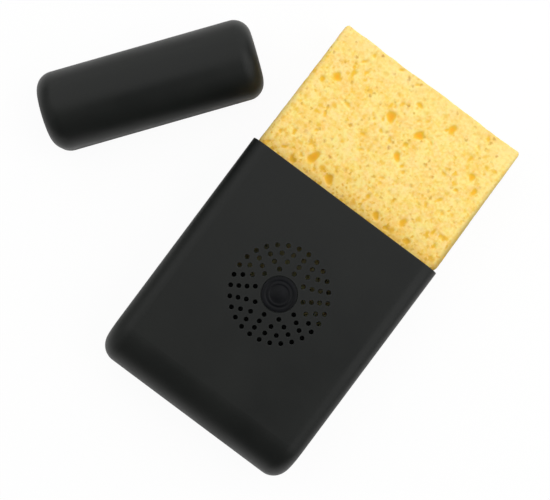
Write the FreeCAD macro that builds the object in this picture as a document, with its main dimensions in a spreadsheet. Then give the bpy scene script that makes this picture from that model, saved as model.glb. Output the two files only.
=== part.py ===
import FreeCAD, Part
import Sketcher
import math
import os

# Vented pocket case for a damp cellulose sponge, with its end cap taken off.
#
# Frame: +Z up, +Y towards the open end (the mouth) of the case, +X across it.
# The origin is the centre of the flat underside that the case rests on.
# The case lies on that underside. The cap stands beside it on its open end.

DOC = FreeCAD.newDocument("SpongeCase")

# Driving dimensions, in millimetres, degrees or plain counts.
SIZES = [
    # The outside shape that the case and the cap share.
    ("case_width", 64.0),
    ("case_thick", 23.4),
    ("case_length", 74.9),
    ("corner_radius", 5.3),
    ("wall", 1.2),
    ("edge_break", 0.25),
    # The lap at the mouth: a thin lip on the case, and a spigot on the cap that fits inside it.
    ("lip_wall", 0.65),
    ("lap_depth", 3.2),
    ("spigot_length", 3.0),
    ("spigot_clear", 0.05),
    ("bead_height", 0.2),
    ("bead_width", 0.8),
    ("bead_from_rim", 1.2),
    ("groove_clear", 0.05),
    # The cap, how far its outside is set in from the case's, and where it stands.
    ("cap_inset", 0.2),
    ("cap_straight", 6.0),
    ("cap_rest_x", -65.5),
    ("cap_rest_y", 26.4),
    ("cap_rest_angle", 52.7),
    # The round grille of vents.
    ("grille_from_mouth", 31.1),
    ("vent_bore", 1.3),
    ("vent_break", 0.15),
    ("vent_first_radius", 7.0),
    ("vent_ring_pitch", 2.25),
    ("vent_first_count", 10),
    ("vent_count_step", 6),
    # The badge in the middle of the grille, and its recess.
    ("badge_width", 10.0),
    ("badge_gap", 0.1),
    ("badge_dome", 0.4),
    ("badge_edge", 0.15),
    ("recess_depth", 0.5),
    ("recess_break", 0.2),
    # The sponge, which lies on the floor of the case, and how far it stands out of the mouth.
    ("sponge_length", 73.3),
    ("sponge_thick", 15.6),
    ("sponge_out", 41.4),
    ("sponge_edge", 1.5),
    ("sponge_clear", 0.3),
]
ALIASES = {alias for alias, _ in SIZES}
VENT_RINGS = 4

# Places that several pieces share, written with the aliases above.
FLAT_LENGTH = "(case_length - case_thick / 2)"   # from the mouth to where the round end begins
MOUTH = f"({FLAT_LENGTH} / 2)"                   # y of the mouth
MIDDLE = "(case_thick / 2)"                      # height of the case's middle plane
GRILLE = f"({MOUTH} - grille_from_mouth)"        # y of the grille's centre
DOME_START = "(spigot_length + cap_straight)"    # height in the cap where its dome begins
BEAD_REACH = "(bead_from_rim + bead_width)"      # from the closed joint to the bead's far side

# Every section is the outer rounded rectangle, set in all round by one of these.
OUTSIDE = "0"
CAP_OUTSIDE = "cap_inset"
INSIDE = "wall"
LAP = "lip_wall"
SPIGOT = "(lip_wall + spigot_clear)"
BEAD = "(lip_wall + spigot_clear - bead_height)"
BEAD_GROOVE = "(lip_wall + spigot_clear - bead_height - groove_clear)"
SPONGE_SIDE = "(wall + sponge_clear)"            # also the height that the sponge lies at

# Sketcher's own numbers: a sketch's two axes, and the points of a line or an arc.
H_AXIS, V_AXIS = range(-1, -3, -1)
START, END, CENTRE = range(1, 4)


# ---------------------------------------------------------------- sheet and formulas

def make_sheet():
    """Write every driving dimension into the spreadsheet, with its alias."""
    sheet = DOC.addObject("Spreadsheet::Sheet", "Sizes")
    for row, (alias, value) in enumerate(SIZES, start=1):
        sheet.set(f"A{row}", alias)
        sheet.set(f"B{row}", str(value))
        sheet.setAlias(f"B{row}", alias)
    DOC.recompute()
    return sheet


SHEET = make_sheet()


def formula(text):
    """The expression for a formula: each alias gets the sheet's name before it."""
    out = ""
    word = ""
    for char in text + " ":
        if char.isalnum() or char == "_":
            word += char
            continue
        out += f"Sizes.{word}" if word in ALIASES else word
        out += char
        word = ""
    return out.strip()


# ---------------------------------------------------------------- bodies and sketches

def new_body(name):
    """An empty body whose label is the name of its node."""
    body = DOC.addObject("PartDesign::Body", name)
    body.Label = name
    return body


def new_sketch(body, name, plane, across="0", up="0", out="0"):
    """A sketch on one of the body's origin planes, moved along the sketch's own axes."""
    sketch = body.newObject("Sketcher::SketchObject", name)
    support = [part for part in body.Origin.OriginFeatures if part.Role == plane]
    sketch.AttachmentSupport = [(support[0], "")]
    sketch.MapMode = "FlatFace"
    for axis, text in (("x", across), ("y", up), ("z", out)):
        if text != "0":
            sketch.setExpression(f"AttachmentOffset.Base.{axis}", formula(text))
    return sketch


def constrain(sketch, kind, *args, name=None, value=None):
    """Add one constraint; a dimension gets a name and a formula to follow."""
    index = sketch.addConstraint(Sketcher.Constraint(kind, *args))
    if name:
        sketch.renameConstraint(index, name)
        sketch.setExpression(f"Constraints.{name}", formula(value))


def start_line(sketch, x1, y1, x2, y2):
    """A line between two rough points; its constraints move them to their real places."""
    return sketch.addGeometry(Part.LineSegment(FreeCAD.Vector(x1, y1, 0), FreeCAD.Vector(x2, y2, 0)))


def start_arc(sketch, x, y, radius, first, last):
    """A rough arc, counter-clockwise between two angles in degrees."""
    circle = Part.Circle(FreeCAD.Vector(x, y, 0), FreeCAD.Vector(0, 0, 1), radius)
    return sketch.addGeometry(Part.ArcOfCircle(circle, math.radians(first), math.radians(last)))


def rounded_section(body, name, plane, inset, **place):
    """The whole rounded rectangle, centred on the sketch's origin and set in by inset."""
    sketch = new_sketch(body, name, plane, **place)
    x, y, radius = 30.0, 10.0, 4.0
    chain = []
    sides = ((x - radius, y, radius - x, y), (-x, y - radius, -x, radius - y),
             (radius - x, -y, x - radius, -y), (x, radius - y, x, y - radius))
    for quarter, (side_x, side_y) in enumerate(((1, 1), (-1, 1), (-1, -1), (1, -1))):
        chain.append(start_arc(sketch, side_x * (x - radius), side_y * (y - radius), radius,
                               90 * quarter, 90 * quarter + 90))
        chain.append(start_line(sketch, *sides[quarter]))
    for here, after in zip(chain, chain[1:] + chain[:1]):
        constrain(sketch, "Tangent", here, END, after, START)
    top_right, top, top_left, left, bottom_left, bottom, bottom_right, right = chain
    constrain(sketch, "Horizontal", top)
    constrain(sketch, "Horizontal", bottom)
    constrain(sketch, "Vertical", left)
    constrain(sketch, "Vertical", right)
    for arc in (top_left, bottom_left, bottom_right):
        constrain(sketch, "Equal", top_right, arc)
    constrain(sketch, "Symmetric", top_right, CENTRE, bottom_left, CENTRE, H_AXIS, START)
    constrain(sketch, "Radius", top_right, radius, name="corner", value=f"corner_radius - {inset}")
    constrain(sketch, "DistanceX", left, START, right, START, 2 * x,
              name="width", value=f"case_width - 2 * {inset}")
    constrain(sketch, "DistanceY", bottom, START, top, START, 2 * y,
              name="height", value=f"case_thick - 2 * {inset}")
    return sketch


def half_section(body, name, plane, inset, **place):
    """The half of the rounded rectangle above its own long middle line."""
    sketch = new_sketch(body, name, plane, **place)
    x, y, radius = 30.0, 10.0, 4.0
    base = start_line(sketch, -x, 0, x, 0)
    right = start_line(sketch, x, 0, x, y - radius)
    right_arc = start_arc(sketch, x - radius, y - radius, radius, 0, 90)
    top = start_line(sketch, x - radius, y, radius - x, y)
    left_arc = start_arc(sketch, radius - x, y - radius, radius, 90, 180)
    left = start_line(sketch, -x, y - radius, -x, 0)
    constrain(sketch, "Coincident", base, END, right, START)
    constrain(sketch, "Coincident", left, END, base, START)
    for here, after in ((right, right_arc), (right_arc, top), (top, left_arc), (left_arc, left)):
        constrain(sketch, "Tangent", here, END, after, START)
    constrain(sketch, "Horizontal", base)
    constrain(sketch, "Horizontal", top)
    constrain(sketch, "Vertical", left)
    constrain(sketch, "Vertical", right)
    constrain(sketch, "Equal", right_arc, left_arc)
    constrain(sketch, "Symmetric", base, START, base, END, H_AXIS, START)
    constrain(sketch, "Radius", right_arc, radius, name="corner", value=f"corner_radius - {inset}")
    constrain(sketch, "DistanceX", base, START, base, END, 2 * x,
              name="width", value=f"case_width - 2 * {inset}")
    constrain(sketch, "DistanceY", base, START, left_arc, START, y,
              name="height", value=f"case_thick / 2 - {inset}")
    return sketch


def turned_profile(body, name, points, **place):
    """A closed outline to turn about the sketch's vertical axis.

    Each point is a pair of formulas: its distance from the axis and its height, where a
    height that starts with a minus sign lies below the sketch's origin.
    """
    sketch = new_sketch(body, name, "YZ_Plane", **place)
    rough = [(index % 2 + index, len(points) - index) for index in range(len(points))]
    lines = []
    for here, after in zip(rough, rough[1:] + rough[:1]):
        lines.append(start_line(sketch, *here, *after))
    for here, after in zip(lines, lines[1:] + lines[:1]):
        constrain(sketch, "Coincident", here, END, after, START)
    for index, (line, (out, height)) in enumerate(zip(lines, points)):
        if out == "0":
            constrain(sketch, "PointOnObject", line, START, V_AXIS)
        else:
            constrain(sketch, "DistanceX", H_AXIS, START, line, START, 1.0,
                      name=f"out{index}", value=out)
        if height == "0":
            constrain(sketch, "PointOnObject", line, START, H_AXIS)
        elif height.startswith("-"):
            constrain(sketch, "DistanceY", line, START, H_AXIS, START, 1.0,
                      name=f"down{index}", value=height[1:])
        else:
            constrain(sketch, "DistanceY", H_AXIS, START, line, START, 1.0,
                      name=f"up{index}", value=height)
    return sketch


# ---------------------------------------------------------------- features

def check_change(body, feature, before):
    """Stop if a feature left the body's volume as it was."""
    DOC.recompute()
    change = body.Shape.Volume - before
    adds = feature.TypeId in ("PartDesign::Pad", "PartDesign::Revolution")
    if (change <= 0) if adds else (change >= 0):
        raise RuntimeError(f"{feature.Label} changes {body.Label} by {change:.3f} mm3")
    return feature


def volume(body):
    return body.Shape.Volume if body.Tip else 0.0


def extrude(body, kind, sketch, length, back=False):
    """A Pad or a Pocket of a sketch; back turns it the other way round."""
    before = volume(body)
    feature = body.newObject(f"PartDesign::{kind}", f"{sketch.Label}_{kind.lower()}")
    feature.Profile = sketch
    feature.Reversed = back
    feature.setExpression("Length", formula(length))
    return check_change(body, feature, before)


def turn(body, kind, sketch, axis, degrees):
    """A Revolution or a Groove of a sketch about one of the sketch's own axes."""
    before = volume(body)
    feature = body.newObject(f"PartDesign::{kind}", f"{sketch.Label}_{kind.lower()}")
    feature.Profile = sketch
    feature.ReferenceAxis = (sketch, [axis])
    feature.Angle = degrees
    return check_change(body, feature, before)


def repeat_round(body, feature, axis_sketch, count):
    """Repeat a feature round the vertical axis of another sketch."""
    before = volume(body)
    pattern = body.newObject("PartDesign::PolarPattern", f"{feature.Label}_ring")
    pattern.Originals = [feature]
    pattern.Axis = (axis_sketch, ["V_Axis"])
    pattern.Angle = 360
    pattern.setExpression("Occurrences", formula(count))
    body.Tip = pattern
    return check_change(body, pattern, before)


def round_edges(body, name, chosen, radius):
    """Round the edges of a body for which chosen is true."""
    DOC.recompute()
    last = body.Tip
    names = [f"Edge{index}" for index, edge in enumerate(last.Shape.Edges, start=1) if chosen(edge)]
    fillet = body.newObject("PartDesign::Fillet", name)
    fillet.Base = (last, names)
    fillet.setExpression("Radius", formula(radius))
    body.Tip = fillet


def break_outer_edge(body, axis, place):
    """Round the outer edge of the flat ring of a body at one place along an axis."""
    spot = SHEET.evalExpression(formula(place))
    ring = None
    for face in body.Tip.Shape.Faces:
        low = getattr(face.BoundBox, f"{axis}Min")
        high = getattr(face.BoundBox, f"{axis}Max")
        if abs(low - spot) < 1e-4 and abs(high - spot) < 1e-4:
            ring = face
    round_edges(body, f"{body.Label}_edge_break",
                lambda edge: any(edge.isSame(rim) for rim in ring.OuterWire.Edges), "edge_break")


# ---------------------------------------------------------------- sub-parts

def make_case_shell():
    """The deep one-piece case: flat-sided, with one fully rounded end and one open end."""
    body = new_body("case_shell")
    at_mouth = {"up": MIDDLE, "out": f"-{MOUTH}"}
    at_round = {"up": MIDDLE, "out": MOUTH}

    outside = rounded_section(body, "outside", "XZ_Plane", OUTSIDE, **at_mouth)
    extrude(body, "Pad", outside, FLAT_LENGTH)
    outside_end = half_section(body, "outside_end", "XZ_Plane", OUTSIDE, **at_round)
    turn(body, "Revolution", outside_end, "H_Axis", 180)

    inside = rounded_section(body, "inside", "XZ_Plane", INSIDE, **at_mouth)
    extrude(body, "Pocket", inside, FLAT_LENGTH, back=True)
    inside_end = half_section(body, "inside_end", "XZ_Plane", INSIDE, **at_round)
    turn(body, "Groove", inside_end, "H_Axis", 180)

    lap = rounded_section(body, "lap", "XZ_Plane", LAP, **at_mouth)
    extrude(body, "Pocket", lap, "lap_depth", back=True)
    groove_start = {"up": MIDDLE, "out": f"-({MOUTH} - bead_from_rim + groove_clear)"}
    groove = rounded_section(body, "bead_groove", "XZ_Plane", BEAD_GROOVE, **groove_start)
    extrude(body, "Pocket", groove, "bead_width + 2 * groove_clear", back=True)

    recess = cut_badge_recess(body)
    for ring in range(VENT_RINGS):
        cut_vent_ring(body, ring, recess)
    break_outer_edge(body, "Y", MOUTH)
    return body


def cut_badge_recess(body):
    """The shallow round recess in the upper face; its axis is the grille's axis."""
    radius = "badge_width / 2 + badge_gap"
    outline = [
        ("0", "0"),
        (f"{radius} + recess_break", "0"),
        (radius, "-recess_break"),
        (radius, "-recess_depth"),
        ("0", "-recess_depth"),
    ]
    sketch = turned_profile(body, "badge_recess", outline, across=GRILLE, up="case_thick")
    turn(body, "Groove", sketch, "V_Axis", 360)
    return sketch


def cut_vent_ring(body, ring, axis_sketch):
    """One vent through the upper wall, its top edge broken, repeated round the grille."""
    radius = "vent_bore / 2"
    outline = [
        ("0", "0"),
        (f"{radius} + vent_break", "0"),
        (radius, "-vent_break"),
        (radius, "-2 * wall"),
        ("0", "-2 * wall"),
    ]
    away = f"vent_first_radius + {ring} * vent_ring_pitch"
    sketch = turned_profile(body, f"vent_{ring + 1}", outline,
                            across=f"{GRILLE} + {away}", up="case_thick")
    vent = turn(body, "Groove", sketch, "V_Axis", 360)
    repeat_round(body, vent, axis_sketch, f"vent_first_count + {ring} * vent_count_step")


def make_end_cap():
    """The hollow domed cap, drawn standing on its spigot, then set beside the case."""
    body = new_body("end_cap")
    spigot = rounded_section(body, "spigot", "XY_Plane", SPIGOT)
    extrude(body, "Pad", spigot, DOME_START)
    bead_start = {"out": f"spigot_length - {BEAD_REACH}"}
    bead = rounded_section(body, "bead", "XY_Plane", BEAD, **bead_start)
    extrude(body, "Pad", bead, "bead_width")
    outside = rounded_section(body, "outside", "XY_Plane", CAP_OUTSIDE, out="spigot_length")
    extrude(body, "Pad", outside, "cap_straight")
    dome = half_section(body, "dome", "XY_Plane", CAP_OUTSIDE, out=DOME_START)
    turn(body, "Revolution", dome, "H_Axis", 180)

    inside = rounded_section(body, "inside", "XY_Plane", INSIDE)
    extrude(body, "Pocket", inside, DOME_START, back=True)
    inside_dome = half_section(body, "inside_dome", "XY_Plane", INSIDE, out=DOME_START)
    turn(body, "Groove", inside_dome, "H_Axis", 180)
    break_outer_edge(body, "Z", "spigot_length")

    body.Placement = FreeCAD.Placement(FreeCAD.Vector(), FreeCAD.Rotation(FreeCAD.Vector(0, 0, 1), 1))
    body.setExpression("Placement.Rotation.Angle", "Sizes.cap_rest_angle")
    body.setExpression("Placement.Base.x", "Sizes.cap_rest_x")
    body.setExpression("Placement.Base.y", "Sizes.cap_rest_y")
    return body


def make_sponge():
    """The block of sponge, drawn back from its outer end, then set on the floor of the case."""
    body = new_body("sponge")
    sketch = new_sketch(body, "section", "XZ_Plane")
    x, y = 30.0, 15.0
    corners = ((-x, 0), (x, 0), (x, y), (-x, y))
    lines = []
    for here, after in zip(corners, corners[1:] + corners[:1]):
        lines.append(start_line(sketch, *here, *after))
    for here, after in zip(lines, lines[1:] + lines[:1]):
        constrain(sketch, "Coincident", here, END, after, START)
    floor, right, top, left = lines
    for line in (floor, top):
        constrain(sketch, "Horizontal", line)
    for line in (right, left):
        constrain(sketch, "Vertical", line)
    constrain(sketch, "Symmetric", floor, START, floor, END, H_AXIS, START)
    constrain(sketch, "DistanceX", floor, START, floor, END, 2 * x,
              name="width", value=f"case_width - 2 * {SPONGE_SIDE}")
    constrain(sketch, "DistanceY", floor, START, top, START, y, name="height", value="sponge_thick")
    extrude(body, "Pad", sketch, "sponge_length")

    half_height = SHEET.evalExpression(formula("sponge_thick / 2"))

    def lies_along(edge):
        return abs(edge.tangentAt(edge.FirstParameter).y) > 0.5

    round_edges(body, "lower_edges",
                lambda edge: lies_along(edge) and edge.CenterOfMass.z < half_height,
                f"corner_radius - {SPONGE_SIDE}")
    round_edges(body, "upper_edges",
                lambda edge: lies_along(edge) and edge.CenterOfMass.z > half_height,
                "sponge_edge")
    body.setExpression("Placement.Base.y", formula(f"{MOUTH} + sponge_out"))
    body.setExpression("Placement.Base.z", formula(SPONGE_SIDE))
    return body


def make_centre_badge():
    """The domed disc, drawn on its own flat back, then set on the floor of its recess."""
    body = new_body("centre_badge")
    outline = [
        ("0", "0"),
        ("badge_width / 2", "0"),
        ("badge_width / 2", "recess_depth"),
        ("badge_width / 2 - badge_edge", "recess_depth + badge_edge"),
        ("0", "recess_depth + badge_dome"),
    ]
    profile = turned_profile(body, "profile", outline)
    turn(body, "Revolution", profile, "V_Axis", 360)
    body.setExpression("Placement.Base.y", formula(GRILLE))
    body.setExpression("Placement.Base.z", formula("case_thick - recess_depth"))
    return body


# ---------------------------------------------------------------- checks and files

def check_document():
    """Stop if any object failed to build."""
    DOC.recompute()
    for item in DOC.Objects:
        if {"Invalid", "Error"} & set(item.State):
            raise RuntimeError(f"{item.Label}: {item.State}")


def check_shape(body):
    """Stop if a sub-part is empty or isn't one valid solid."""
    shape = body.Shape
    if shape.isNull() or not shape.isValid() or len(shape.Solids) != 1:
        raise RuntimeError(f"{body.Label} isn't one valid solid")


def main():
    bodies = [make_case_shell(), make_end_cap(), make_sponge(), make_centre_badge()]
    check_document()
    for body in bodies:
        check_shape(body)
    os.makedirs("parts", exist_ok=True)
    for body in bodies:
        body.Shape.exportStep(f"parts/{body.Label}.step")
        box = body.Shape.optimalBoundingBox()
        print(f"{body.Label}: {body.Shape.Volume:.1f} mm3, "
              f"x {box.XMin:.2f}..{box.XMax:.2f}, y {box.YMin:.2f}..{box.YMax:.2f}, "
              f"z {box.ZMin:.2f}..{box.ZMax:.2f}")


main()
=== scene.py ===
# %% [markdown]
# # A vented pocket case for a damp sponge
# The object is four pieces. A deep moulded case lies flat, with a round grille of small vents. A
# glossy badge sits in a recess in the middle of the grille. A block of yellow cellulose sponge
# is pulled part-way out of the open end. The end cap has been taken off and stands beside the
# case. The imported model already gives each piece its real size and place, so this script is
# about surfaces: moulded charcoal plastic, a polished badge, and a sponge full of bubbles.

# %% Load the frame
import math

import bmesh
import bpy
import numpy as np
from mathutils import Matrix, Vector, noise


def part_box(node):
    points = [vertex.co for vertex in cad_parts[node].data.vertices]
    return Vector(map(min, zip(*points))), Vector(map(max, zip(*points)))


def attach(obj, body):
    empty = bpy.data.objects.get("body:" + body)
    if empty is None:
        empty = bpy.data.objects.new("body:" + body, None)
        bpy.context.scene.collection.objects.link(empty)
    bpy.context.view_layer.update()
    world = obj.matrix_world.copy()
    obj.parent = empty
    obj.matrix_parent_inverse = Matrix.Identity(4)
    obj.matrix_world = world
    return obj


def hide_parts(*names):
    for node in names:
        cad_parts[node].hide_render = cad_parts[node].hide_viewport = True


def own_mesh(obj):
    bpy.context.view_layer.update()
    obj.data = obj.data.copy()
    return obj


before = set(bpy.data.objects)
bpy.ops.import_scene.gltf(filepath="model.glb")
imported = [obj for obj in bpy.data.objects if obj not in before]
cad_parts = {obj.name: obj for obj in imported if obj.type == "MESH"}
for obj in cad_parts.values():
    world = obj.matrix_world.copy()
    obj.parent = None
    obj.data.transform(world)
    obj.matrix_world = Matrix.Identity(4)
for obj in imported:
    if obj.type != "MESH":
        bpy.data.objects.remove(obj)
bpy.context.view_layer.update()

MM = 0.001
print("pieces in the frame:", ", ".join(sorted(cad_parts)))

# %% [markdown]
# ## A few small helpers
# Colours are easiest to choose as hex values, the way a screen shows them, but Blender mixes
# light in linear values. One function turns one into the other. Node materials are easiest to
# read when a node, its settings and its links stand together, so a second function adds one node
# with all of them. An input that is given another node's output is linked, and any other value
# is set on the socket.
#
# Two smaller ones help with textures. A texture's Scale says how often its pattern repeats in a
# metre, but the size of a pattern in millimetres is what can be measured on a real sponge.

# %% Colours and nodes
def linear(hex_colour):
    """The linear colour for a hex colour such as #F6DE8C."""
    parts = [int(hex_colour[i:i + 2], 16) / 255 for i in (1, 3, 5)]
    return [c / 12.92 if c <= 0.04045 else ((c + 0.055) / 1.055) ** 2.4 for c in parts] + [1.0]


def add(tree, kind, inputs=None, **settings):
    """Add a node, change its settings, and fill or link its inputs by name or number."""
    node = tree.nodes.new(kind)
    for name, value in settings.items():
        setattr(node, name, value)
    for name, value in (inputs or {}).items():
        if isinstance(value, bpy.types.NodeSocket):
            tree.links.new(value, node.inputs[name])
        else:
            node.inputs[name].default_value = value
    return node


def scale_for(size):
    """The Scale of a texture whose pattern is about size millimetres wide."""
    return 1 / (size * MM)


def set_stops(ramp, *stops):
    """Give a colour ramp its stops, each one a position and a hex colour."""
    for stop, (position, tone) in zip(ramp.color_ramp.elements, stops):
        stop.position, stop.color = position, linear(tone)


def new_material(name):
    """An empty node material and its node tree."""
    material = bpy.data.materials.new(name)
    material.use_nodes = True
    material.node_tree.nodes.clear()
    return material, material.node_tree


print("pale sponge yellow in linear values:", [round(c, 3) for c in linear("#FBE08C")])

# %% [markdown]
# ## The camera
# The view looks straight down from about 41 cm, turned 37 degrees, with a long lens. A long lens
# far away keeps the sides of the case nearly parallel, as a product view should.

# %% Set the camera
CAMERA_AT = (-8.31, 9.7, 412.5)  # in millimetres
CAMERA_TURN = 36.76              # in degrees
camera_data = bpy.data.cameras.new("camera")
camera_data.sensor_width = 36
camera_data.lens = 91.6
camera_data.clip_start = 0.01
camera = bpy.data.objects.new("camera", camera_data)
camera.location = [c * MM for c in CAMERA_AT]
camera.rotation_euler = (0, 0, math.radians(CAMERA_TURN))
bpy.context.scene.collection.objects.link(camera)
bpy.context.scene.camera = camera
bpy.context.scene.view_settings.view_transform = "Standard"
print("camera height:", round(camera.location.z, 4), "m")

# %% [markdown]
# ## The floor and the studio
# Black plastic is hard to light, because most of what the eye sees on it is a reflection. A
# white room would turn it grey. So the room is dim, and three soft boxes do most of the work: a
# large one behind the object that reaches to straight above it, a smaller one to its right, and
# a weak one to its left, which only keeps that side from going black. Together they bring a
# white surface to about full white, and a colour then renders about as it is written.
#
# The floor looks white to the camera because its material is nearly all emission for that ray.
# The small rest is a plain surface, which still shows a faint shadow. A reflection shows the
# floor as white card under the same lamps, white in the open and darker close to the object,
# where the object shades it. The light that it bounces is that of pale grey card, so that the
# undersides of the rounded edges stay dark.

# %% Make the floor
FLOOR_HALF_WIDTH = 1.5
GLOW = 0.94  # how much of the white that the camera sees is emission
floor_mesh = bpy.data.meshes.new("floor")
bm = bmesh.new()
bmesh.ops.create_grid(bm, x_segments=1, y_segments=1, size=FLOOR_HALF_WIDTH)
bm.to_mesh(floor_mesh)
bm.free()
floor = bpy.data.objects.new("floor", floor_mesh)
bpy.context.scene.collection.objects.link(floor)

paper, tree = new_material("white_paper_sweep")
path = add(tree, "ShaderNodeLightPath")
seen = add(tree, "ShaderNodeMath",
           {0: path.outputs["Is Camera Ray"], 1: path.outputs["Is Glossy Ray"]},
           operation="MAXIMUM")
seen = add(tree, "ShaderNodeMath", {0: seen.outputs[0], 1: path.outputs["Is Transmission Ray"]},
           operation="MAXIMUM")
share = add(tree, "ShaderNodeMath", {0: path.outputs["Is Camera Ray"], 1: GLOW},
            operation="MULTIPLY")
card = add(tree, "ShaderNodeMix", {0: seen.outputs[0], 6: linear("#BCBCBA"), 7: linear("#FAFAF9")},
           data_type="RGBA")
matte = add(tree, "ShaderNodeBsdfDiffuse", {"Color": card.outputs[2]})
white = add(tree, "ShaderNodeEmission", {"Color": linear("#FFFFFF"), "Strength": 1.0})
mixed = add(tree, "ShaderNodeMixShader",
            {0: share.outputs[0], 1: matte.outputs[0], 2: white.outputs[0]})
add(tree, "ShaderNodeOutputMaterial", {"Surface": mixed.outputs[0]})
floor_mesh.materials.append(paper)
print("floor is", 2 * FLOOR_HALF_WIDTH, "m wide")

# %% Light the room
ROOM_LEVEL = 0.20
world = bpy.data.worlds.new("studio")
bpy.context.scene.world = world
world.use_nodes = True
tree = world.node_tree
tree.nodes.clear()
path = add(tree, "ShaderNodeLightPath")
room = add(tree, "ShaderNodeBackground", {"Color": linear("#FFFFFF"), "Strength": ROOM_LEVEL})
backdrop = add(tree, "ShaderNodeBackground", {"Color": linear("#FAFAFA"), "Strength": 1.0})
mixed = add(tree, "ShaderNodeMixShader",
            {0: path.outputs["Is Camera Ray"], 1: room.outputs[0], 2: backdrop.outputs[0]})
add(tree, "ShaderNodeOutputWorld", {"Surface": mixed.outputs[0]})


def soft_box(name, towards, tilt, distance, size, level):
    """A square lamp that faces the origin.

    towards is its compass direction in degrees from +X, and tilt its angle from straight up. A
    small lamp would bring a flat white surface at the origin to the given level. A large one that
    is near spreads its light and gives less: 0.44 of the level for the lamp behind, and 0.7 for
    the other two.
    """
    lamp = bpy.data.lights.new(name, "AREA")
    lamp.size = size
    lamp.energy = level * math.pi ** 2 * distance ** 2 / math.cos(math.radians(tilt))
    turn = (Matrix.Rotation(math.radians(towards), 4, "Z")
            @ Matrix.Rotation(math.radians(tilt), 4, "Y"))
    holder = bpy.data.objects.new(name, lamp)
    holder.matrix_world = turn @ Matrix.Translation((0, 0, distance))
    bpy.context.scene.collection.objects.link(holder)
    print(name, "stands", distance, "m away and is", size, "m wide")


soft_box("soft_box_behind", towards=124, tilt=41, distance=0.5, size=1.0, level=1.09)
soft_box("soft_box_right", towards=22, tilt=50, distance=0.6, size=0.66, level=0.37)
soft_box("soft_box_left", towards=218, tilt=60, distance=0.6, size=0.66, level=0.09)
print("the room itself is at", ROOM_LEVEL, "of white")

# %% [markdown]
# ## The sponge block: cutting it into cells
# A cellulose sponge is regenerated wood pulp, foamed with salt crystals that later dissolve.
# What is left is a soft block with round walls between bubbles of every size. It is cut with
# straight knives, so its sides are flat and every bubble that the knife met is an open, oval
# pit.
#
# The block could be a plain box with a bump map, but its outline would stay ruler-straight and
# the big pits would have no depth. Here a cube is cut into cells under half a millimetre wide,
# and the corners of the cells are then moved, as a sculptor would, to make the rounded edges,
# the slow waves and the pits. The pits that are too small for the cells are left to the
# material.

# %% Start from a cube and cut it across, along and up
SPONGE_LOW, SPONGE_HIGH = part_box("sponge")
CELL = 0.40 * MM


def cut_into_cells(low, high, cell):
    """A box mesh whose six faces are grids of square cells."""
    bm = bmesh.new()
    bmesh.ops.create_cube(bm, size=1.0)
    size = high - low
    bmesh.ops.scale(bm, vec=size, verts=bm.verts)
    bmesh.ops.translate(bm, vec=(low + high) / 2, verts=bm.verts)
    for axis in range(3):
        lying = [e for e in bm.edges
                 if abs(e.verts[0].co[axis] - e.verts[1].co[axis]) > 0.9 * size[axis]]
        bmesh.ops.subdivide_edges(bm, edges=lying, cuts=round(size[axis] / cell) - 1,
                                  use_grid_fill=True)
    return bm


bm = cut_into_cells(SPONGE_LOW, SPONGE_HIGH, CELL)
sponge_mesh = bpy.data.meshes.new("cut_sponge")
bm.to_mesh(sponge_mesh)
bm.free()
corners = np.empty(len(sponge_mesh.vertices) * 3)
sponge_mesh.vertices.foreach_get("co", corners)
corners = corners.reshape(-1, 3) / MM
low, high = np.array(SPONGE_LOW) / MM, np.array(SPONGE_HIGH) / MM
print("sponge cells:", len(sponge_mesh.polygons), "size in mm:", (high - low).round(2))

# %% [markdown]
# ## The sponge block: its section
# The block fills the case, and where it comes out of the mouth it swells, because damp cellulose
# is springy and nothing holds it there. It swells most at the mouth, and more on the right side.
# The lower edges are pressed round by the corners of the case. The upper edges were cut square,
# but a soft edge slumps, more where the case has squeezed it and less at the free end, so the
# long sides roll over. The rolled strip also gets a painted shade in its colour, strongest at
# the mouth and on the right side, so that it shows as a darker strip from above.
#
# Each point near an edge is moved onto an oval arc: from the corner of a square towards the
# quarter circle inside it, with one radius across and another up.

# %% Let the block swell outside the mouth
MOUTH_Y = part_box("case_shell")[1].y / MM
HALF_WIDTH = high[0]
# in millimetres: how far inside the mouth the swelling starts, how far outside it is full, how
# much it is on each side, and how much less it is at the free end
SWELL_STARTS, SWELL_FULL = 1.8, 1.6
RIGHT_SWELL, RIGHT_FALL = 1.40, 0.70
LEFT_SWELL, LEFT_FALL = 0.43, 0.60
middle_z = (low[2] + high[2]) / 2


def ease(values, start, end):
    """0 before start and 1 after end, with a smooth rise between."""
    t = np.clip((values - start) / (end - start), 0, 1)
    return t * t * (3 - 2 * t)


freed = ease(corners[:, 1], MOUTH_Y - SWELL_STARTS, MOUTH_Y + SWELL_FULL)
along_free = np.clip((corners[:, 1] - MOUTH_Y) / (high[1] - MOUTH_Y), 0, 1)
right_side = corners[:, 0] > 0
swell = np.where(right_side, RIGHT_SWELL - RIGHT_FALL * along_free,
                 LEFT_SWELL - LEFT_FALL * along_free) * freed
corners[:, 0] *= 1 + swell / HALF_WIDTH
print("widest place:", corners[:, 0].min().round(2), "to", corners[:, 0].max().round(2), "mm")

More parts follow.
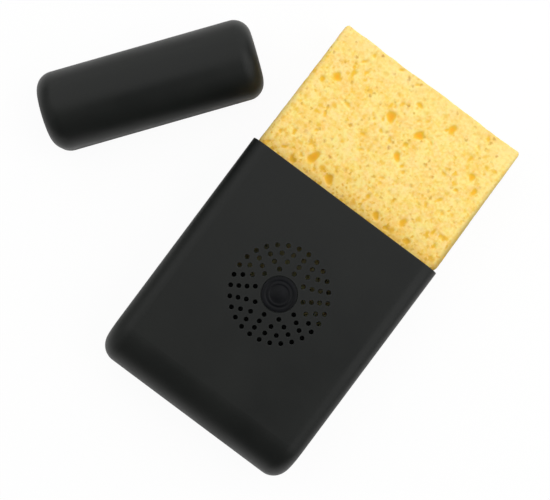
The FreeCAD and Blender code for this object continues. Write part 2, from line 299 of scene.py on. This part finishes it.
# %% Roll the long edges over
LOWER_RADIUS = 3.8
ROLL_AT_MOUTH, ROLL_AT_END = 2.7, 1.0
TALLER = 1.3         # the roll is this much taller than it is wide
FLANK_FADES = 7.0    # how far below the roll the painted shade of the flank has faded
LEFT_FLANK = 0.55    # how much of that painted shade the left side gets
side = np.sign(corners[:, 0])
half_width = HALF_WIDTH + swell
is_lower = corners[:, 2] < middle_z
roll = ROLL_AT_MOUTH - (ROLL_AT_MOUTH - ROLL_AT_END) * along_free ** 2
radius_across = np.where(is_lower, LOWER_RADIUS, roll)
radius_up = np.where(is_lower, LOWER_RADIUS, TALLER * roll)
level = np.where(is_lower, low[2], high[2])
out = (np.abs(corners[:, 0]) - (half_width - radius_across)) / radius_across
up = (np.abs(corners[:, 2] - middle_z) - (np.abs(level - middle_z) - radius_up)) / radius_up
rolled = (out > 0) & (up > 0)
reach = np.maximum(np.hypot(out, up), 1e-6)
corners[rolled, 0] = (side * (half_width - radius_across + radius_across * out / reach))[rolled]
corners[rolled, 2] = (level - np.sign(level - middle_z) * radius_up * (1 - up / reach))[rolled]
# flank is how much painted shade a point on a long side gets, most where the rolled edge turns to
# the side
down_the_side = high[2] - TALLER * roll - corners[:, 2]
flank = np.where(rolled & ~is_lower, out / reach, 0.0)
flank = np.where(np.isclose(out, 1) & ~rolled, 1 - ease(down_the_side, 0.0, FLANK_FADES), flank)
flank *= np.where(right_side, 1.0, LEFT_FLANK) * (1 - 0.5 * along_free)
print("points on the rolled edges:", int(rolled.sum()))

# %% Round the standing edges of both ends
END_RADIUS = 1.0
on_end = np.isclose(corners[:, 1], low[1]) | np.isclose(corners[:, 1], high[1])
middle_y = (low[1] + high[1]) / 2
reach_y = (high[1] - low[1]) / 2
out = (np.abs(corners[:, 0]) - (half_width - END_RADIUS)) / END_RADIUS
beyond = (np.abs(corners[:, 1] - middle_y) - (reach_y - END_RADIUS)) / END_RADIUS
turned = (out > 0) & (beyond > 0)
reach = np.maximum(np.hypot(out, beyond), 1.0)
corners[turned, 0] = (side * (half_width - END_RADIUS + END_RADIUS * out / reach))[turned]
corners[turned, 1] = (middle_y + np.sign(corners[:, 1] - middle_y)
                      * (reach_y - END_RADIUS + END_RADIUS * beyond / reach))[turned]
print("points on the two cut ends:", int(on_end.sum()))

# %% [markdown]
# ## The sponge block: pits
# Every pit is an oval that the knife opened: a centre on one face, a width, a length, a lean and
# a depth. A point inside the oval sinks along the face's own direction, deepest in the middle.
# The pits are shallow bowls, because the bubbles were cut at every height and the soft rims have
# worn down. The pits of the sides and ends stay clear of the upper edges, so that the outline
# from above isn't notched.
#
# The largest pits on the upper face are listed, because they are what makes one sponge
# look different from another. The rest are scattered by a seeded random generator, many small
# ones and few large ones, on all six faces. How strongly each point lies in a pit is kept for
# the colours.

# %% List the large pits and scatter the small ones
SMALLEST = 0.7  # the width of the smallest pits in millimetres
FEW_LARGE = 4   # the higher, the fewer large pits among the scattered ones
# x, y, width and length in millimetres, and the lean from +Y towards -X in degrees
LARGE_PITS = [
    (-4.5, 59.5, 3.0, 4.6, 30), (5.0, 60.0, 2.8, 3.9, -26), (-15.3, 37.2, 3.0, 4.6, -8),
    (11.5, 67.0, 2.3, 4.6, 0), (3.5, 51.5, 2.4, 3.4, 55), (-23.5, 59.5, 2.4, 3.2, -15),
    (24.0, 59.5, 2.2, 3.2, 10), (16.0, 37.5, 2.1, 3.6, 5), (27.0, 56.5, 2.0, 2.8, 0),
    (-20.5, 63.0, 1.6, 3.4, 17), (-8.1, 34.9, 2.8, 3.6, 70), (-26.5, 56.5, 1.8, 2.6, 30),
    (0.0, 67.0, 1.8, 2.8, 90), (24.5, 40.5, 1.6, 2.6, -10), (20.5, 63.5, 1.5, 3.0, -12),
    (-20.0, 67.5, 1.3, 3.2, -37), (-1.0, 54.0, 1.5, 2.8, 25), (-16.5, 55.0, 1.5, 2.8, 80),
    (-24.0, 40.0, 1.6, 2.5, 14), (20.5, 67.5, 1.2, 3.2, 38), (17.0, 55.5, 1.5, 2.6, 76),
    (20.5, 49.0, 1.6, 2.4, -36), (-20.0, 49.0, 1.5, 2.4, 41), (7.5, 49.0, 1.5, 2.1, 0),
    (8.7, 34.6, 2.2, 3.2, 20), (20.2, 34.0, 1.9, 2.6, -10), (-27.2, 37.6, 1.4, 2.4, 12),
    (-19.8, 33.2, 1.9, 2.7, 62), (3.7, 37.6, 1.6, 2.7, -20), (18.2, 45.3, 1.4, 2.2, 30),
    (27.0, 37.6, 1.5, 2.4, 0), (9.1, 60.3, 1.3, 1.9, 40), (13.0, 33.4, 1.6, 2.2, 80),
]


def scattered_pits(rng, across, along, count, largest):
    """Random pits between two limits each way, as rows like those above."""
    rows = []
    for _ in range(count):
        size = SMALLEST + (largest - SMALLEST) * rng.random() ** FEW_LARGE
        rows.append((rng.uniform(*across), rng.uniform(*along), size * rng.uniform(0.7, 1.0),
                     size * rng.uniform(1.0, 1.6), rng.uniform(-60, 60)))
    return rows


def inside_pit(spots, across, along, pit, rng):
    """How far each spot lies in a pit: 0 at its rim, and 1 in its middle."""
    here, there, width, length, lean = pit
    turn = math.radians(lean)
    u, v = spots[:, across] - here, spots[:, along] - there
    short = u * math.cos(turn) + v * math.sin(turn)
    long = v * math.cos(turn) - u * math.sin(turn)
    angle = np.arctan2(long, short)
    wobble = (1 + 0.12 * np.sin(2 * angle + rng.uniform(0, 6))
              + 0.10 * np.sin(3 * angle + rng.uniform(0, 6)))
    part = np.hypot(short / (width / 2), long / (length / 2)) * wobble
    return np.clip(1 - part ** 2, 0, 1)


print("pits listed by hand:", len(LARGE_PITS))

# %% Open the pits on all six faces
PIT_COUNTS = (90, 90, 520)           # on each face that looks along X, Y and Z
LARGEST, LARGEST_BETWEEN = 3.0, 1.8  # scattered ones, on any face and between the listed pits
SIDE_REACH, FACE_REACH = 1.2, 0.3    # points this near belong to a face; the sides have swollen
CLEAR_OF_RIM = 2.5                   # how far below the top the pits of sides and ends stay
SHALLOWNESS, DEEPEST = 0.22, 0.8     # a pit's depth as a share of its width, and at most
FULLY_COLOURED = 2.6                 # a pit this wide gets its full colour
hollow = np.zeros(len(corners))
sink = np.zeros_like(corners)
rng = np.random.default_rng(11)
for axis in range(3):
    across, along = [k for k in range(3) if k != axis]
    rim = 0 if axis == 2 else CLEAR_OF_RIM
    for end in (-1, 1):
        listed = LARGE_PITS if axis == 2 and end == 1 else []
        pits = listed + scattered_pits(rng, (low[across], high[across]),
                                       (low[along], high[along] - rim), PIT_COUNTS[axis],
                                       LARGEST_BETWEEN if listed else LARGEST)
        face = high[axis] if end == 1 else low[axis]
        near = np.flatnonzero(np.abs(corners[:, axis] - face)
                              < (SIDE_REACH if axis == 0 else FACE_REACH))
        if axis == 1:
            near = near[on_end[near]]
        spots = corners[near]
        for pit in pits:
            width = pit[2]
            bowl = inside_pit(spots, across, along, pit, rng)
            hollow[near] = np.maximum(hollow[near], bowl * min(1.0, width / FULLY_COLOURED))
            deeper = bowl ** 0.8 * min(DEEPEST, SHALLOWNESS * width)
            sink[near, axis] = -end * np.maximum(np.abs(sink[near, axis]), deeper)
corners += sink
print("points in pits:", int((hollow > 0.05).sum()), "of", len(corners))

# %% [markdown]
# ## The sponge block: waves and roughness
# A soft block doesn't keep a flat face. It sags in slow waves some 14 mm long, and the knife
# leaves a rough skin where it tears the thin walls between the bubbles. All of it is noise in
# three sizes: broad and gentle, medium, and fine and weak. Inside the case the sides stay clear
# of the walls, so the sideways moves only go inwards.

# %% Roughen the skin
def noise_at(points, size, seed):
    """Smooth noise from -1 to 1 at each point, for a pattern about size millimetres wide."""
    shift = Vector((seed, 2.3 * seed, 5.1 * seed))
    return np.array([noise.noise(Vector(p) / size + shift) for p in points])


broad = noise_at(corners, 14, 3.0)
medium = noise_at(corners, 3.5, 7.0)
fine = noise_at(corners, 0.9, 9.0)
waves = (broad, medium, fine)
# the heights of the three waves in millimetres on the top, on the long sides and on the ends
TOP_WAVES, SIDE_WAVES, END_WAVES = (0.20, 0.09, 0.06), (0.12, 0.14, 0.08), (0.25, 0.16, 0.08)
lift = sum(height * wave for height, wave in zip(TOP_WAVES, waves))
corners[:, 2] += np.where(corners[:, 2] > middle_z, lift, 0)
inwards = sum(height * (1 + wave) / 2 for height, wave in zip(SIDE_WAVES, waves))
on_side = np.abs(corners[:, 0]) > HALF_WIDTH - SIDE_REACH
corners[:, 0] -= np.where(on_side, side * inwards, 0)
end_wave = sum(height * wave for height, wave in zip(END_WAVES, waves))
corners[:, 1] += np.where(on_end, end_wave, 0)
sponge_mesh.vertices.foreach_set("co", (corners * MM).ravel())
print("sponge from", corners.min(0).round(2), "to", corners.max(0).round(2))

# %% [markdown]
# ## The sponge block: what the colours need to know
# Three numbers are kept at every point: how far into a pit it lies, how far it rolls over onto a
# long side, which sets the painted shade of the rolled strip, and how damp and shaded it is. The
# part that stays in the case is painted darker, partly as painted shade for the inside of the
# case and partly because wet cellulose is darker. The number is nearly 0 at the free end and
# half at the mouth. It is 1 where the sponge is wet and shaded through, and 2 at the inner end,
# where the painted shade is deepest. The edge of the darker part wanders with the waves of the
# skin, as a tide line does.

# %% Keep three numbers at every point and finish the piece
# in millimetres from the edge of the darker part: how far in the sponge is damp and shaded
# through, and where the painted shade of the inner end starts and where it is full
DAMP_AND_SHADE_THROUGH, INNER_SHADE_STARTS, INNER_SHADE_THROUGH = 15.0, 10.0, 18.0
damp_and_shade_edge = MOUTH_Y - 3.0 * (1 + broad) - 1.5 * medium
towards_mouth = 0.42 * (1 - along_free) ** 8 + 0.08 * (1 - along_free)
damp = np.maximum(1 - ease(corners[:, 1], damp_and_shade_edge - DAMP_AND_SHADE_THROUGH, damp_and_shade_edge + 1.0), towards_mouth)
# up to 2 towards the inner end, where the painted shade is deepest
damp += 1 - ease(corners[:, 1], damp_and_shade_edge - INNER_SHADE_THROUGH, damp_and_shade_edge - INNER_SHADE_STARTS)
for label, values in (("hollow", hollow), ("flank", flank), ("damp", damp)):
    mark = sponge_mesh.attributes.new(label, "FLOAT", "POINT")
    mark.data.foreach_set("value", values.astype(np.float32))
sponge_mesh.shade_smooth()
sponge_mesh.update()
cut_sponge = bpy.data.objects.new("cut_sponge", sponge_mesh)
bpy.context.scene.collection.objects.link(cut_sponge)
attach(cut_sponge, "sponge_block")
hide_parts("sponge")
print("three numbers kept at", len(sponge_mesh.vertices), "points")

# %% [markdown]
# ## The sponge's material
# Damp cellulose is translucent. Light soaks in at the surface and comes out again nearby, so a
# pit doesn't look black but a deeper, warmer yellow. The numbers kept above say how deep each
# point lies, and the colour goes from pale straw yellow to gold, and to a warm orange only in
# the largest pits. On top of that the whole skin is mottled, because cut bubble walls of every
# size lie at the surface. Four patterns are worked out from real sizes: golden patches some
# 2.3 mm apart, smaller ones 1.2 mm apart, olive specks 1.6 mm apart, where the knife opened a
# deeper bubble, and a few brown ones where a bubble goes far down. The olive and brown specks
# are painted shade, the shade inside bubbles too small to model. A slow drift over some 3 mm
# turns the yellow a little pink or a little green.
#
# The colour also changes along the block. The free end is paler, and towards the mouth the
# bubbles turn amber. Inside the case the colour is painted darker, partly as painted shade for
# the inside of the case and partly because the cellulose is wet there. The inner end is painted
# a dull grey-green with dark brown bubbles, as painted shade.

# %% Name the colours and bend the patterns, so that no bubble is a true circle
PALE, STRAW, ROSY, GREENISH = "#FFE59A", "#F9C852", "#FFDA8E", "#F8E378"
# the last colour on the next line is partly painted shade for the part inside the case and partly
# the colour of wet cellulose
GOLD, ORANGE, OLIVE, BROWN, WET_AND_SHADED = "#F0BE2C", "#F9B028", "#CF9A20", "#B2741A", "#9C8D5A"
# the second colour on the next line is painted shade for the rolled long edges
AMBER, FLANK_SHADE, INNER_SHADE, BUBBLE_SHADE = "#DFA926", "#BDA456", "#8E8E6E", "#67623C"

BEND = 1.6  # in millimetres, from one side to the other
sponge_stuff, tree = new_material("cellulose_sponge")
place = add(tree, "ShaderNodeTexCoord")
bent = add(tree, "ShaderNodeTexNoise",
           {"Vector": place.outputs["Object"], "Scale": scale_for(1.3), "Detail": 2.0})
bend = add(tree, "ShaderNodeVectorMath", {0: bent.outputs["Color"], 1: (0.5, 0.5, 0.5)},
           operation="SUBTRACT")
bend = add(tree, "ShaderNodeVectorMath", {0: bend.outputs[0], "Scale": BEND * MM},
           operation="SCALE")
spot = add(tree, "ShaderNodeVectorMath", {0: place.outputs["Object"], 1: bend.outputs[0]},
           operation="ADD")
print("patterns bend by up to", BEND / 2, "mm")


# %% Four sizes of bubble
def bubbles(tree, where, size, held, rim):
    """Round bubbles about size millimetres apart: 1 in the middle of a bubble, 0 outside.

    held is the share of the cells that hold a bubble, and rim is how far a bubble reaches from its
    middle, as a share of the spacing.
    """
    cells = add(tree, "ShaderNodeTexVoronoi",
                {"Vector": where, "Scale": scale_for(size), "Randomness": 1.0})
    picked = add(tree, "ShaderNodeSeparateColor", {0: cells.outputs["Color"]})
    chosen = add(tree, "ShaderNodeMath", {0: picked.outputs[0], 1: held}, operation="LESS_THAN")
    inside = add(tree, "ShaderNodeMapRange",
                 {"Value": cells.outputs["Distance"], "From Min": rim, "From Max": rim * 0.2,
                  "To Min": 0.0, "To Max": 1.0})
    varied = add(tree, "ShaderNodeMath", {0: chosen.outputs[0], 1: picked.outputs[1]},
                 operation="MULTIPLY")
    return add(tree, "ShaderNodeMath", {0: inside.outputs[0], 1: varied.outputs[0]},
               operation="MULTIPLY").outputs[0]


# spacing in millimetres, the share of the cells that hold a bubble, and how far a bubble reaches
BUBBLES = ((2.3, 0.60, 0.60), (1.2, 0.60, 0.60), (1.6, 0.32, 0.50), (2.4, 0.14, 0.34))
wide_patches, small_patches, specks, deep_specks = [
    bubbles(tree, spot.outputs[0], *row) for row in BUBBLES]
print("bubble spacings in mm:", [row[0] for row in BUBBLES])

# %% Mix the sponge's colours
drift = add(tree, "ShaderNodeTexNoise",
            {"Vector": place.outputs["Object"], "Scale": scale_for(6), "Detail": 3.0})
grain = add(tree, "ShaderNodeTexNoise",
            {"Vector": place.outputs["Object"], "Scale": scale_for(0.8), "Detail": 2.0})
blend_in = add(tree, "ShaderNodeMath", {0: drift.outputs["Fac"], 1: 0.4}, operation="MULTIPLY")
blend_in = add(tree, "ShaderNodeMath",
               {0: grain.outputs["Fac"], 1: 0.6, 2: blend_in.outputs[0]}, operation="MULTIPLY_ADD")
colour = add(tree, "ShaderNodeValToRGB", {0: blend_in.outputs[0]})
set_stops(colour, (0.36, STRAW), (0.58, PALE))
tint = add(tree, "ShaderNodeTexNoise",
           {"Vector": place.outputs["Object"], "Scale": scale_for(3), "Detail": 3.0,
            "Distortion": 0.6})
tints = add(tree, "ShaderNodeValToRGB", {0: tint.outputs["Fac"]})
set_stops(tints, (0.40, ROSY), (0.60, GREENISH))
layer = add(tree, "ShaderNodeMix", {0: 0.35, 6: colour.outputs[0], 7: tints.outputs[0]},
            data_type="RGBA")
attribute = {label: add(tree, "ShaderNodeAttribute", attribute_name=label).outputs["Fac"]
             for label in ("hollow", "flank", "damp")}
# painted shade for the rolled long edges, a little lighter in the golden patches
flank_shade = add(tree, "ShaderNodeMath", {0: wide_patches, 1: -0.4, 2: 1.0}, operation="MULTIPLY_ADD")
flank_shade = add(tree, "ShaderNodeMath", {0: flank_shade.outputs[0], 1: attribute["flank"]}, operation="MULTIPLY")
# bubbles and pits, as far as the point is damp and painted with shade
damp_and_shade_bubbles = add(tree, "ShaderNodeMath", {0: small_patches, 1: wide_patches}, operation="MAXIMUM")
damp_and_shade_bubbles = add(tree, "ShaderNodeMath", {0: damp_and_shade_bubbles.outputs[0], 1: attribute["hollow"]},
                  operation="MAXIMUM")
damp_and_shade_bubbles = add(tree, "ShaderNodeMath", {0: damp_and_shade_bubbles.outputs[0], 1: attribute["damp"]},
                  operation="MULTIPLY")
print("sponge patterns and numbers ready,", len(tree.nodes), "nodes so far")

# %% Lay the sponge's colours over one another
damp_here, hollow_here = attribute["damp"], attribute["hollow"]
# what a colour follows, where it starts, where it is strongest, how strong it gets, and the colour
LAYERS = [
    (wide_patches, 0, 1, 0.90, GOLD),
    (small_patches, 0, 1, 0.70, GOLD),
    # painted shade on the rolled long edges
    (flank_shade.outputs[0], 0.15, 0.9, 1.0, FLANK_SHADE),
    (damp_here, 0.02, 0.0, 0.35, PALE),
    # painted shade inside small bubbles too small to model, in olive
    (specks, 0, 0.9, 0.72, OLIVE),
    (hollow_here, 0.02, 0.6, 0.9, GOLD),
    (hollow_here, 0.45, 1.0, 0.85, ORANGE),
    # painted shade inside bubbles that go far down, in brown
    (deep_specks, 0, 0.8, 0.62, BROWN),
    (damp_here, 0, 0.5, 0.28, AMBER),
    (damp_and_shade_bubbles.outputs[0], 0, 0.25, 0.72, AMBER),
    # partly painted shade for the part inside the case, partly wet cellulose
    (damp_here, 0.25, 1.1, 0.82, WET_AND_SHADED),
    # painted shade for the inner end: grey-green, with dark brown bubbles
    (damp_here, 1.0, 2.0, 0.75, INNER_SHADE),
    (damp_and_shade_bubbles.outputs[0], 0.5, 1.6, 0.75, BUBBLE_SHADE),
]
for value, start, end, most, tone in LAYERS:
    amount = add(tree, "ShaderNodeMapRange",
                 {"Value": value, "From Min": start, "From Max": end, "To Min": 0.0,
                  "To Max": most}, interpolation_type="SMOOTHSTEP")
    layer = add(tree, "ShaderNodeMix",
                {0: amount.outputs[0], 6: layer.outputs[2], 7: linear(tone)}, data_type="RGBA")
print("colours laid over the first two:", len(LAYERS))

# %% Give the sponge its roughness and softness
skin = add(tree, "ShaderNodeTexNoise",
           {"Vector": place.outputs["Object"], "Scale": scale_for(0.45), "Detail": 3.0})
height = skin.outputs["Fac"]
for pattern, depth in ((specks, -0.3), (small_patches, -0.6), (wide_patches, -0.8),
                       (deep_specks, -0.5)):
    height = add(tree, "ShaderNodeMath", {0: pattern, 1: depth, 2: height},
                 operation="MULTIPLY_ADD").outputs[0]
bump = add(tree, "ShaderNodeBump", {"Height": height, "Strength": 0.3, "Distance": 0.10 * MM})
shader = add(tree, "ShaderNodeBsdfPrincipled", {
    "Base Color": layer.outputs[2], "Normal": bump.outputs[0], "Roughness": 0.85, "IOR": 1.45,
    "Specular IOR Level": 0.3, "Subsurface Weight": 0.35, "Subsurface Radius": (1.0, 0.55, 0.18),
    "Subsurface Scale": 1.0 * MM, "Sheen Weight": 0.05, "Sheen Roughness": 0.6})
add(tree, "ShaderNodeOutputMaterial", {"Surface": shader.outputs[0]})
sponge_mesh.materials.append(sponge_stuff)
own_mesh(cut_sponge)
print("sponge material has", len(tree.nodes), "nodes")

# %% [markdown]
# ## The moulded plastic
# The case and the cap are injection-moulded ABS, dyed charcoal all the way through. The steel
# mould was spark-eroded, which leaves a fine even grain that takes the shine off. ABS has an
# index of refraction near 1.5, so a smooth piece reflects about 4% of what stands over it and
# much more at a glancing angle, which is what draws the pale line round a black moulding. The
# hollows of the grain swallow part of that, so the reflection is set to a little under half.
#
# The true grain is about 0.05 mm, too fine to show, so it is drawn at 0.35 mm. Handling polishes
# the edges a little and dulls the broad faces unevenly.

# %% Mix the charcoal ABS
HANDLED, DULL = 0.34, 0.46  # roughness where hands have polished it, and where they haven't
EDGE_WEAR = 0.35            # how far the rubbed edges go towards a paler grey
abs_plastic, tree = new_material("charcoal_abs_spark_eroded")
place = add(tree, "ShaderNodeTexCoord")
cloud = add(tree, "ShaderNodeTexNoise",
            {"Vector": place.outputs["Object"], "Scale": scale_for(16), "Detail": 3.0})
grain = add(tree, "ShaderNodeTexNoise",
            {"Vector": place.outputs["Object"], "Scale": scale_for(0.35), "Detail": 2.0})
tone = add(tree, "ShaderNodeMath", {0: grain.outputs["Fac"], 1: 0.45}, operation="MULTIPLY")
tone = add(tree, "ShaderNodeMath", {0: cloud.outputs["Fac"], 1: 0.55, 2: tone.outputs[0]},
           operation="MULTIPLY_ADD")
colour = add(tree, "ShaderNodeValToRGB", {0: tone.outputs[0]})
set_stops(colour, (0.32, "#121413"), (0.68, "#181A18"))
softened = add(tree, "ShaderNodeBevel", {"Radius": 0.5 * MM}, samples=6)
sharp = add(tree, "ShaderNodeNewGeometry")
agree = add(tree, "ShaderNodeVectorMath", {0: softened.outputs[0], 1: sharp.outputs["Normal"]},
            operation="DOT_PRODUCT")
edge = add(tree, "ShaderNodeMapRange",
           {"Value": agree.outputs["Value"], "From Min": 0.995, "From Max": 0.90})
worn = add(tree, "ShaderNodeMath", {0: edge.outputs[0], 1: EDGE_WEAR}, operation="MULTIPLY")
rubbed = add(tree, "ShaderNodeMix",
             {0: worn.outputs[0], 6: colour.outputs[0], 7: linear("#3A3C3B")}, data_type="RGBA")
dull = add(tree, "ShaderNodeMapRange",
           {"Value": cloud.outputs["Fac"], "From Min": 0.3, "From Max": 0.7,
            "To Min": HANDLED, "To Max": DULL})
gloss = add(tree, "ShaderNodeMath", {0: worn.outputs[0], 1: -0.3, 2: dull.outputs[0]},
            operation="MULTIPLY_ADD")
bump = add(tree, "ShaderNodeBump",
           {"Height": grain.outputs["Fac"], "Strength": 0.35, "Distance": 0.03 * MM})
shader = add(tree, "ShaderNodeBsdfPrincipled", {
    "Base Color": rubbed.outputs[2], "Roughness": gloss.outputs[0], "IOR": 1.5,
    "Specular IOR Level": 0.22, "Normal": bump.outputs[0]})
add(tree, "ShaderNodeOutputMaterial", {"Surface": shader.outputs[0]})
for name in ("case_shell", "end_cap"):
    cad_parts[name].material_slots[0].material = abs_plastic
print("plastic on case_shell and end_cap")

# %% [markdown]
# ## The badge
# The badge is a small disc of black plastic, moulded in a polished mould and pressed into the
# recess in the middle of the grille. It has a flat rim, a shallow channel, one raised ring and a
# low dome, and it bears no mark. A turned piece is easiest to make as a lathe makes it: half of
# its outline is drawn as a few points and edges, and the outline is spun once round the axis.

# %% Spin the badge
BADGE_LOW, BADGE_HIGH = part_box("centre_badge")
badge_radius = (BADGE_HIGH.x - BADGE_LOW.x) / 2 / MM
badge_height = (BADGE_HIGH.z - BADGE_LOW.z) / MM
badge_axis = Vector(((BADGE_LOW.x + BADGE_HIGH.x) / 2, (BADGE_LOW.y + BADGE_HIGH.y) / 2,
                     BADGE_LOW.z))
CLEARANCE = 0.02  # the disc stays this far inside its box, in millimetres
# distance from the axis and height above the badge's back, in millimetres
outline = [
    (badge_radius - CLEARANCE, 0.0), (badge_radius - CLEARANCE, 0.42), (badge_radius - 0.18, 0.55),
    (badge_radius - 0.9, 0.60), (badge_radius - 1.15, 0.50), (badge_radius - 1.5, 0.50),
    (badge_radius - 1.75, 0.70), (badge_radius - 2.1, 0.72), (badge_radius - 2.35, 0.60),
    (1.7, 0.74), (0.9, 0.84), (0.0, badge_height - CLEARANCE),
]
bm = bmesh.new()
points = [bm.verts.new(badge_axis + Vector((out, 0, up)) * MM) for out, up in outline]
for pair in zip(points, points[1:]):
    bm.edges.new(pair)
bmesh.ops.bevel(bm, geom=points[2:-1], offset=0.1 * MM, offset_type="OFFSET", segments=3,
                profile=0.5, affect="VERTICES", material=-1)
bmesh.ops.spin(bm, geom=bm.verts[:] + bm.edges[:], cent=badge_axis, axis=(0, 0, 1),
               dvec=(0, 0, 0), angle=math.tau, steps=96, use_merge=True)
bmesh.ops.remove_doubles(bm, verts=bm.verts, dist=0.001 * MM)
back = [e for e in bm.edges if e.is_boundary]
bmesh.ops.contextual_create(bm, geom=back)
bmesh.ops.recalc_face_normals(bm, faces=bm.faces)
badge_mesh = bpy.data.meshes.new("badge_disc")
bm.to_mesh(badge_mesh)
bm.free()
badge_mesh.shade_smooth()
badge = bpy.data.objects.new("badge_disc", badge_mesh)
bpy.context.scene.collection.objects.link(badge)
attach(badge, "case")
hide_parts("centre_badge")
print("badge faces:", len(badge_mesh.polygons), "radius", round(badge_radius, 2), "mm")

# %% [markdown]
# ## The badge's material
# The badge is the same plastic in black, but its mould was polished, so it shines. Even a
# polished moulding isn't optically flat: it has a slight ripple where the plastic cooled, and
# hairline scuffs. Seen from straight above it would mirror the large soft box and turn grey, so
# its reflection is turned down to a fifth.

# %% Mix the polished ABS
POLISHED, SCUFFED = 0.30, 0.42  # roughness
polished, tree = new_material("black_abs_polished")
place = add(tree, "ShaderNodeTexCoord")
ripple = add(tree, "ShaderNodeTexNoise",
             {"Vector": place.outputs["Object"], "Scale": scale_for(2.5), "Detail": 2.0})
scuffs = add(tree, "ShaderNodeTexNoise",
             {"Vector": place.outputs["Object"], "Scale": scale_for(0.5), "Detail": 4.0})
colour = add(tree, "ShaderNodeValToRGB", {0: ripple.outputs["Fac"]})
set_stops(colour, (0.3, "#090A0C"), (0.7, "#0F1013"))
shine = add(tree, "ShaderNodeMapRange",
            {"Value": scuffs.outputs["Fac"], "From Min": 0.3, "From Max": 0.7,
             "To Min": POLISHED, "To Max": SCUFFED})
bump = add(tree, "ShaderNodeBump",
           {"Height": ripple.outputs["Fac"], "Strength": 0.3, "Distance": 0.02 * MM})
shader = add(tree, "ShaderNodeBsdfPrincipled", {
    "Base Color": colour.outputs[0], "Roughness": shine.outputs[0], "IOR": 1.5,
    "Specular IOR Level": 0.095, "Normal": bump.outputs[0]})
add(tree, "ShaderNodeOutputMaterial", {"Surface": shader.outputs[0]})
badge_mesh.materials.append(polished)
print("badge polished")
